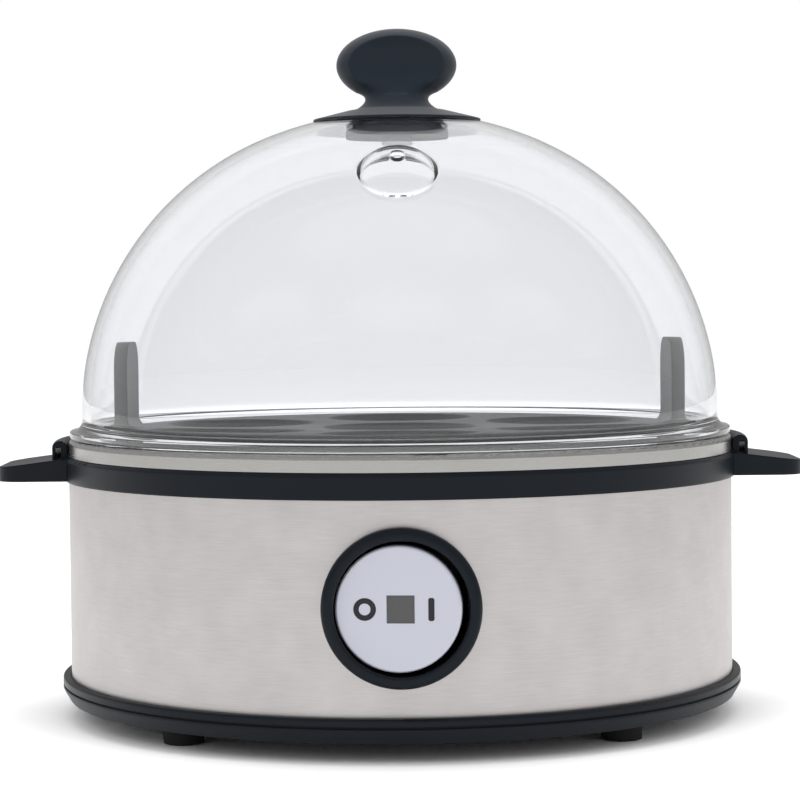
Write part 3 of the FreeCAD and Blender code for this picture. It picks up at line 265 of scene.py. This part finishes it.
# Pressed stainless pan: tighter gloss and a cooler, darker grey.
PAN_STEEL = brushed("pan_stainless_pressed", "#9D9C99", "#ADACA9", 0.26, 0.15)
# Zinc-plated screws and clips: blue-white and half bright.
ZINC = brushed("zinc_plated_steel", "#A9ABAD", "#BCBEC0", 0.35, 0.1)
# Cast aluminium: pale, dull and a little rough.
ALUMINIUM = brushed("cast_aluminium", "#AFB0B1", "#C3C4C5", 0.45, 0.3)
# Plain brass blades and pins: yellow with a soft shine.
BRASS = brushed("plain_brass", "#B8974F", "#CDAE66", 0.35, 0.1)
# The element's sheath after use: steel darkened by heat.
SHEATH = brushed("heat_darkened_sheath", "#4A4440", "#5E5650", 0.5, 0.3)
print("metals made")

# %% [markdown]
# ## Silver lacquer
# The rocker is plastic with a sprayed silver lacquer: tiny flakes in a clear coat, so it is pale
# and slightly metallic with a soft gloss. A plain metal would be too dark where it mirrors the
# black bezel, so it is half metal under a thin coat.

# %% Lacquer
FLAKE_MM = 0.12
FLAKE_GLOSS = (0.36, 0.46)


def lacquered(name, colour_dark, colour_light):
    """Silver lacquer: pale metal flakes under a thin clear coat."""
    material = new_material(name, Metallic=0.55, Coat_Weight=0.3, Coat_Roughness=0.15)
    place = add_node(material, "TexCoord").outputs["Object"]
    flakes = add_node(material, "TexNoise", {"Scale": cells_per_metre(FLAKE_MM), "Detail": 1.0},
                      Vector=place)
    tone = add_node(material, "Mix", {"data_type": "RGBA", COLOUR_A: linear(colour_dark),
                                      COLOUR_B: linear(colour_light)},
                    Factor=flakes.outputs["Fac"])
    gloss = add_node(material, "MapRange", {"To Min": FLAKE_GLOSS[0], "To Max": FLAKE_GLOSS[1]},
                     Value=flakes.outputs["Fac"])
    shade(material, Base_Color=tone.outputs[COLOUR_OUT], Roughness=gloss.outputs["Result"])
    return material


# Silver lacquer: a cool pale grey that glitters too finely to see, with a wide gloss.
SILVER = lacquered("rocker_silver_lacquer", "#AEB0BC", "#BABCC7")
print("lacquer made, with flakes of", FLAKE_MM, "mm")

# %% [markdown]
# ## Clear plastics and glass
# The window over the lamp is smoked clear plastic. The lid is clear polycarbonate, which is all
# transmission and a sharp surface reflection. A thin sheet could be faked with a see-through mix,
# but then its edges would stay pale. Real refraction through two skins draws them.

# %% Clear plastics
RIPPLE_DEPTH_MM = 0.05


def clear(name, colour, ior, transmission, roughness, ripple):
    """A clear moulding, with the faint ripple that moulding leaves."""
    material = new_material(name, Base_Color=linear(colour), Transmission_Weight=transmission,
                            IOR=ior, Roughness=roughness)
    place = add_node(material, "TexCoord").outputs["Object"]
    waves = add_node(material, "TexNoise", {"Scale": cells_per_metre(FLOW_MM), "Detail": 1.0},
                     Vector=place)
    relief = add_node(material, "Bump", {"Strength": ripple, "Distance": RIPPLE_DEPTH_MM * MM},
                      Height=waves.outputs["Fac"])
    shade(material, Normal=relief.outputs["Normal"])
    return material


# Smoked acrylic: a dark grey pane that lets half of the light through.
SMOKE = clear("window_smoked_acrylic", "#545456", 1.49, 0.5, 0.12, 0.1)
# Clear polycarbonate: water-clear, with bright and dark lines at its edges.
LID_CLEAR = clear("lid_clear_polycarbonate", "#F7F8FA", 1.58, 1.0, 0.0, 0.004)
# Lamp glass: thin and slightly warm.
LAMP_GLASS = clear("lamp_glass", "#F4EDE6", 1.52, 0.9, 0.02, 0.1)
print("clear materials made")

# %% [markdown]
# ## Which piece has which finish
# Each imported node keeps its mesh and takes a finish. Every node could name its own material, but a
# table by finish shows at a glance what is made of what. The material goes into every slot that
# the node has.

# %% Assign finishes
FINISHES = {
    CASE_BLACK: ("base_cover", "handle_collar", "switch_bezel", "cord_gland"),
    KNOB_BLACK: ("lid_knob",),
    TRAY_GREY: ("egg_tray",),
    RETAINER_GREY: ("knob_retainer",),
    RUBBER_BLACK: ("rubber_feet",),
    PHENOLIC: ("thermostat", "switch_housing"),
    SEAL_GREY: ("pan_seal", "knob_gasket"),
    SHELL_STEEL: ("body_shell",),
    PAN_STEEL: ("heating_pan",),
    ZINC: ("cover_screws", "pan_nuts", "strap_screws", "clip_screw", "block_screws", "knob_screw",
           "thermostat_strap", "fuse_clip", "rocker_pin"),
    ALUMINIUM: ("heat_spreader", "thermal_fuse"),
    SHEATH: ("heating_element",),
    BRASS: ("element_pins", "switch_terminals"),
    SILVER: ("rocker",),
    SMOKE: ("indicator_window",),
    LID_CLEAR: ("lid_dome",),
    LAMP_GLASS: ("indicator_lamp",),
    CERAMIC: ("element_insulators", "terminal_block"),
    SLEEVE: ("live_lead", "switched_lead", "fuse_lead", "thermostat_lead", "neutral_lead"),
    EARTH_SLEEVE: ("earth_lead",),
}


def dress(thing, material):
    """Puts a material into every slot of an object."""
    if not thing.material_slots:
        thing.data.materials.append(material)
    for slot in thing.material_slots:
        slot.material = material


for finish, names in FINISHES.items():
    for name in names:
        dress(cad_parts[name], finish)
print("dressed", sum(len(names) for names in FINISHES.values()), "nodes")

# %% [markdown]
# ## The clear lid
# A clear dome bends what is seen through it, so it needs an even, fine mesh with two skins. A half
# sphere with a Solidify modifier would have no flange and no spigot, so the wall's section is drawn
# once as a closed loop and spun about the upright axis. Each skin is two arcs, a flat crown and a
# rounder flank. The part of the flank where the steam blister sits is drawn in much finer steps, so
# that the blister can be raised out of both skins afterwards.

# %% Skins of the lid
HOLE = 2.15 * MM
CROWN_CENTRE = Vector((0.0, 58.59)) * MM
CROWN = 84.03 * MM
CROWN_ANGLE = 22.5
FLANK_CENTRE = Vector((5.1, 70.9)) * MM
FLANK = 70.7 * MM
FLANK_ANGLE = 90.0
FINE_FROM, FINE_TO = 28.0, 47.0
CROWN_STEP, FLANK_STEP, FINE_STEP = 1.6, 1.4, 0.33


def arc(centre, radius, start, end, step):
    """Points of an arc by their angle from upright, in degrees."""
    count = max(1, round(abs(end - start) / step))
    angles = [math.radians(start + (end - start) * i / count) for i in range(count + 1)]
    return [centre + Vector((math.sin(angle), math.cos(angle))) * radius for angle in angles]


def skin(offset):
    """One skin of the dome, from the screw hole down to where the wall stands upright."""
    crown = CROWN - offset
    flank = FLANK - offset
    top = math.degrees(math.asin(HOLE / crown))
    points = arc(CROWN_CENTRE, crown, top, CROWN_ANGLE, CROWN_STEP)
    points += arc(FLANK_CENTRE, flank, CROWN_ANGLE, FINE_FROM, FLANK_STEP)[1:]
    points += arc(FLANK_CENTRE, flank, FINE_FROM, FINE_TO, FINE_STEP)[1:]
    return points + arc(FLANK_CENTRE, flank, FINE_TO, FLANK_ANGLE, FLANK_STEP)[1:]


print("outer skin has", len(skin(0.0)), "points")

# %% [markdown]
# Below the dome the wall flares out into a flange, which rests over the rim, and a short spigot
# under it keeps the lid in its place. Their corners are few, so they are given as points of radius
# and height, with small steps at the edges that a mould would round.

# %% Section of the lid
WALL = 2.0 * MM
FLARE_CENTRE = Vector((78.4, 70.1)) * MM
FLARE = 2.6 * MM
FLARE_FROM, FLARE_TO, FLARE_STEP = 270.0, 182.0, 11.0
FLANGE_MM = ((78.5, 67.5), (78.7, 67.3), (78.7, 66.1), (78.5, 65.9))
SPIGOT_MM = ((73.6, 65.9), (73.4, 65.7), (73.4, 63.9), (73.2, 63.7),
             (71.8, 63.7), (71.6, 63.9), (71.6, 65.9), (73.8, 68.5))


def lid_section():
    """The closed section of the lid: the outer skin, the flange, the spigot and the inner skin."""
    flare = arc(FLARE_CENTRE, FLARE, FLARE_FROM, FLARE_TO, FLARE_STEP)
    edge = [Vector(spot) * MM for spot in FLANGE_MM + SPIGOT_MM]
    return skin(0.0) + flare + edge + skin(WALL)[::-1]


section = lid_section()
print("lid section has", len(section), "points")

# %% [markdown]
# Spinning the section twice, once through the fine sector at the front and once round the rest,
# gives rings that meet at the same points, so merging them closes the lid without a seam.

# %% Spin the lid
FINE_HALF = 13.0
FINE_STEPS, REST_STEPS = 68, 170
SEAM_MERGE = 0.005 * MM


def spun(mesh, points, start, angle, steps):
    """Spins a closed loop of points, given as radius and height, about the upright axis."""
    turn = Matrix.Rotation(math.radians(start), 3, "Z")
    ring = [mesh.verts.new(turn @ Vector((0, -spot.x, spot.y))) for spot in points]
    edges = [mesh.edges.new(pair) for pair in zip(ring, ring[1:] + ring[:1])]
    bmesh.ops.spin(mesh, geom=ring + edges, cent=(0, 0, 0), axis=(0, 0, 1),
                   angle=math.radians(angle), steps=steps)


lid = bmesh.new()
spun(lid, section, -FINE_HALF, 2 * FINE_HALF, FINE_STEPS)
spun(lid, section, FINE_HALF, 360 - 2 * FINE_HALF, REST_STEPS)
bmesh.ops.remove_doubles(lid, verts=lid.verts, dist=SEAM_MERGE)
print("lid has", len(lid.faces), "faces")

# %% [markdown]
# ## The steam blister
# Steam leaves through a small hole in a raised blister at the front. A Boolean with a ball would
# leave long thin faces that show in clear plastic. Instead each point near it keeps its distance
# from the blister's axis and is lifted to whichever is higher, the dome or the ball, with a soft
# maximum that leaves a small fillet.

# %% Raise the blister
BALL = 11.245 * MM
BALL_SINK = 7.245 * MM
BALL_WALL = 1.6 * MM
FILLET = 0.25 * MM
VENT_ANGLE = math.radians(37.4)
VENT_AXIS = Vector((0, -math.sin(VENT_ANGLE), math.cos(VENT_ANGLE)))
VENT_SPOT = Vector((0, -FLANK_CENTRE.x, FLANK_CENTRE.y)) + VENT_AXIS * (FLANK - BALL_SINK)


def from_vent(spot):
    """How far a point lies along the vent's axis, and its vector away from that axis."""
    rise = (spot - VENT_SPOT).dot(VENT_AXIS)
    return rise, spot - VENT_SPOT - VENT_AXIS * rise


def soft_max(first, second, blend):
    """The larger value, with a soft change from one to the other."""
    near = max(blend - abs(first - second), 0.0) / blend
    return max(first, second) + near * near * blend / 4


def raise_blister(mesh):
    """Lifts both skins over the vent and returns each point's distance from the vent's axis."""
    apart = {}
    for vert in mesh.verts:
        rise, across = from_vent(vert.co)
        apart[vert] = across.length
        outside = rise > BALL_SINK - WALL / 2 - across.length ** 2 / (2 * FLANK)
        ball = BALL if outside else BALL - BALL_WALL
        if rise > 0 and across.length < ball:
            lifted = soft_max(rise, math.sqrt(ball ** 2 - across.length ** 2), FILLET)
            vert.co += VENT_AXIS * (lifted - rise)
    return apart


apart = raise_blister(lid)
top = max(vert.co.dot(VENT_AXIS) for vert in lid.verts)
print("blister raised to", round(top / MM, 1), "mm along its axis")

# %% [markdown]
# The steam hole is opened in both skins by deleting the faces near the axis. The edges that are
# left run in steps, so they are drawn to a true circle, and bridging them makes the wall of the
# hole.

# %% Open the steam hole
STEAM_HOLE = 1.5 * MM
centre_faces = [face for face in lid.faces
                if all(apart[vert] < STEAM_HOLE for vert in face.verts)
                and from_vent(face.calc_center_median())[0] > 0]
bmesh.ops.delete(lid, geom=centre_faces, context="FACES")
rim = [edge for edge in lid.edges if edge.is_boundary]
for vert in {vert for edge in rim for vert in edge.verts}:
    rise, across = from_vent(vert.co)
    vert.co = VENT_SPOT + VENT_AXIS * rise + across.normalized() * STEAM_HOLE
bmesh.ops.bridge_loops(lid, edges=rim)
bmesh.ops.recalc_face_normals(lid, faces=lid.faces)
print("steam hole rim:", len(rim), "edges")

# %% [markdown]
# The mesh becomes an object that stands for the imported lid, moves with the lid, and takes its
# finish. Smooth shading suits the domed skins, and edges that turn by more than 35 degrees stay
# sharp.

# %% Keep the lid
SHARP = math.radians(35)


def piece(name, mesh, material, body, smooth=True):
    """Turns a mesh into an object that rides on a body."""
    for face in mesh.faces:
        face.smooth = smooth
    for edge in mesh.edges:
        edge.smooth = not edge.is_manifold or edge.calc_face_angle(0.0) < SHARP
    data = bpy.data.meshes.new(name)
    mesh.to_mesh(data)
    mesh.free()
    thing = bpy.data.objects.new(name, data)
    thing.data.materials.append(material)
    scene.collection.objects.link(thing)
    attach(thing, body)
    return thing


clear_lid = piece("clear_lid", lid, LID_CLEAR, "lid")
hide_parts("lid_dome")
print("clear lid:", len(clear_lid.data.polygons), "faces")

# %% [markdown]
# ## The knob
# The knob is moulded in one piece with a soft-touch skin, and its disc runs into the neck in a soft
# hollow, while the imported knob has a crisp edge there. A Bevel modifier would need clean loops of
# edges, which loose triangles don't have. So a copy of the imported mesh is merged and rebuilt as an
# even skin of small voxels.

# %% Copy the knob as an even skin
VOXEL = 0.25 * MM
COPY_MERGE = 0.001 * MM


def even_skin(node):
    """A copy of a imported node's mesh, merged and rebuilt from voxels."""
    mesh = bmesh.new()
    mesh.from_mesh(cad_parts[node].data)
    bmesh.ops.remove_doubles(mesh, verts=mesh.verts, dist=COPY_MERGE)
    data = bpy.data.meshes.new("voxel_copy")
    mesh.to_mesh(data)
    thing = bpy.data.objects.new("voxel_copy", data)
    scene.collection.objects.link(thing)
    remesh = thing.modifiers.new("voxels", "REMESH")
    remesh.mode = "VOXEL"
    remesh.voxel_size = VOXEL
    rebuilt = thing.evaluated_get(bpy.context.evaluated_depsgraph_get())
    mesh.clear()
    mesh.from_mesh(rebuilt.to_mesh())
    bpy.data.objects.remove(thing)
    return mesh


knob = even_skin("lid_knob")
print("knob copy has", len(knob.faces), "faces")

# %% [markdown]
# Relaxing pulls each point towards the middle of its neighbours, which rounds a corner a little
# more with every round. Only the points where the disc meets the neck are relaxed, so the rest of
# the knob keeps its size.

# %% Soften the knob
HOLLOW_LOW, HOLLOW_HIGH = 143.6 * MM, 151.0 * MM
HOLLOW_REACH = 9.5 * MM
RELAX_ROUNDS = 160
RELAX_SHARE = 0.5
hollow = [vert for vert in knob.verts
          if HOLLOW_LOW < vert.co.z < HOLLOW_HIGH and vert.co.xy.length < HOLLOW_REACH]
for _ in range(RELAX_ROUNDS):
    bmesh.ops.smooth_vert(knob, verts=hollow, factor=RELAX_SHARE, use_axis_x=True,
                          use_axis_y=True, use_axis_z=True)
print(len(hollow), "points relaxed")
soft_knob = piece("soft_knob", knob, KNOB_BLACK, "lid")
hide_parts("lid_knob")
print("soft knob:", len(soft_knob.data.polygons), "faces")

# %% [markdown]
# ## Switch signs
# The rocker carries two printed signs, a ring for off and a bar for on. They could be painted in
# the material, but then they would have no mesh of their own. They are drawn flat at the origin,
# given the thickness of a pad print, and laid on the rocker's face, which leans with its left side
# in.

# %% A place for the signs
PRINT = 0.04 * MM
PIVOT = Vector((0.0, -73.4, 33.2)) * MM
FACE = 8.0 * MM
OFF_LEAN = math.radians(-5)
ON_FACE = (Matrix.Translation(PIVOT) @ Matrix.Rotation(OFF_LEAN, 4, "Z")
           @ Matrix.Translation((0, -FACE, 0)) @ Matrix.Rotation(QUARTER_TURN, 4, "X"))
# Pad-printing ink: a thin, half-dull black.
PRINT_BLACK = moulded("pad_print_black", "#26262A", "#303034", 0.5)


def lay_on_face(mesh, shift):
    """Thickens a flat sign and lays it on the rocker's face."""
    made = bmesh.ops.extrude_face_region(mesh, geom=mesh.faces[:])
    top = [part for part in made["geom"] if isinstance(part, bmesh.types.BMVert)]
    bmesh.ops.translate(mesh, verts=top, vec=(0, 0, PRINT))
    bmesh.ops.translate(mesh, verts=mesh.verts, vec=(shift, 0, 0))
    bmesh.ops.transform(mesh, matrix=ON_FACE, verts=mesh.verts)
    bmesh.ops.recalc_face_normals(mesh, faces=mesh.faces)


print("the signs lie", FACE / MM, "mm in front of the rocker's pin")

# %% [markdown]
# The ring is two circles joined by a bridge. The bar is a flat grid of one cell, scaled to the
# bar's size, with its corners bevelled round.

# %% Draw the signs
RING_RADII = (2.4 * MM, 1.25 * MM)
RING_SEGMENTS = 64
RING_SHIFT = -7.1 * MM
BAR_WIDTH, BAR_HEIGHT = 1.3 * MM, 4.9 * MM
BAR_CORNER = 0.45 * MM
BAR_SHIFT = 7.0 * MM

off_sign = bmesh.new()
for radius in RING_RADII:
    bmesh.ops.create_circle(off_sign, segments=RING_SEGMENTS, radius=radius)
bmesh.ops.bridge_loops(off_sign, edges=off_sign.edges[:])
lay_on_face(off_sign, RING_SHIFT)
on_sign = bmesh.new()
bmesh.ops.create_grid(on_sign, x_segments=1, y_segments=1, size=0.5)
bmesh.ops.scale(on_sign, verts=on_sign.verts, vec=(BAR_WIDTH, BAR_HEIGHT, 1))
bmesh.ops.bevel(on_sign, geom=on_sign.verts[:], offset=BAR_CORNER, segments=6, profile=0.5,
                affect="VERTICES", material=-1)
lay_on_face(on_sign, BAR_SHIFT)
for name, mesh in (("off_sign", off_sign), ("on_sign", on_sign)):
    piece(name, mesh, PRINT_BLACK, "switch_rocker", smooth=False)
print("signs printed")

# %% [markdown]
# ## The studio
# The product stands on white paper in a white tent. The world is white to the eye, to clear plastic
# and to what it lights. A real tent is dimmer than the lit paper, most of all low behind the
# product, and that is what draws the edge of a clear dome, so rays that a smooth surface mirrors
# see a dimmer world there. The Light Path node tells mirrored rays from refracted ones.

# %% White world
LOW_BEHIND = (0, 1, -1)
BEHIND_FROM, BEHIND_TO = 0.2, 0.8


def white_world(near, far):
    """White all round. Gloss sees the strength near, and far low behind the product."""
    world = bpy.data.worlds.new("white_studio")
    scene.world = world
    world.use_nodes = True
    surround = world.node_tree.nodes["Background"]
    surround.inputs["Color"].default_value = linear("#FFFFFF")
    behind = add_node(world, "VectorMath", {"operation": "DOT_PRODUCT", 1: LOW_BEHIND},
                      Vector=add_node(world, "TexCoord").outputs["Generated"])
    tent = add_node(world, "MapRange", {"From Min": BEHIND_FROM, "From Max": BEHIND_TO,
                                        "To Min": near, "To Max": far},
                    Value=behind.outputs["Value"])
    path = add_node(world, "LightPath")
    mirrored = add_node(world, "Mix", {"A": 1.0}, Factor=path.outputs["Is Glossy Ray"],
                        B=tent.outputs["Result"])
    level = add_node(world, "Mix", {"B": 1.0}, Factor=path.outputs["Is Transmission Ray"],
                     A=mirrored.outputs["Result"])
    world.node_tree.links.new(level.outputs["Result"], surround.inputs["Strength"])


white_world(near=0.62, far=0.45)
print("world set")

# %% [markdown]
# Soft boxes stand at the front left and right and overhead. They give the form its shading and the
# floor its shadow. In a tent their outlines don't show, so gloss and clear plastic don't see them.

# %% Soft boxes
FOCUS = Vector((0.0, 0.0, 0.07))


def soft_box(name, place, size, power):
    """An area lamp that looks at the product and isn't mirrored."""
    data = bpy.data.lights.new(name, "AREA")
    data.shape = "RECTANGLE"
    data.size, data.size_y = size
    data.energy = power
    lamp = bpy.data.objects.new(name, data)
    lamp.location = place
    lamp.rotation_euler = (FOCUS - Vector(place)).to_track_quat("-Z", "Y").to_euler()
    lamp.visible_glossy = False
    lamp.visible_transmission = False
    scene.collection.objects.link(lamp)


soft_box("front_left_box", place=(-0.75, -0.9, 0.75), size=(0.7, 0.9), power=2.5)
soft_box("front_right_box", place=(0.85, -0.8, 0.65), size=(0.6, 0.9), power=2.5)
soft_box("top_box", place=(0.0, 0.1, 1.1), size=(1.0, 1.0), power=6.0)

# %% [markdown]
# The floor is a large sheet of matt white paper, a hair under the feet, so that it takes a clean
# contact shadow. It has no gloss, because gloss would mirror the tent and draw a line at the
# horizon.

# %% Floor
FLOOR_HALF = 3.0
FLOOR_DROP = 0.2 * MM
# Uncoated paper: bright, even white without any shine.
FLOOR_WHITE = new_material("table_white_paper", Base_Color=linear("#FFFFFF"), Roughness=1.0,
                           Specular_IOR_Level=0.0)


def white_floor():
    """A flat sheet under the product that belongs to the stage."""
    mesh = bmesh.new()
    bmesh.ops.create_grid(mesh, x_segments=1, y_segments=1, size=FLOOR_HALF)
    bmesh.ops.translate(mesh, verts=mesh.verts, vec=(0, 0, -FLOOR_DROP))
    data = bpy.data.meshes.new("studio_floor")
    mesh.to_mesh(data)
    mesh.free()
    floor = bpy.data.objects.new("studio_floor", data)
    scene.collection.objects.link(floor)
    dress(floor, FLOOR_WHITE)


white_floor()
print("floor laid")

# %% [markdown]
# ## The end
# This cell only prints that the scene is finished.

# %% Finish
print("scene finished")
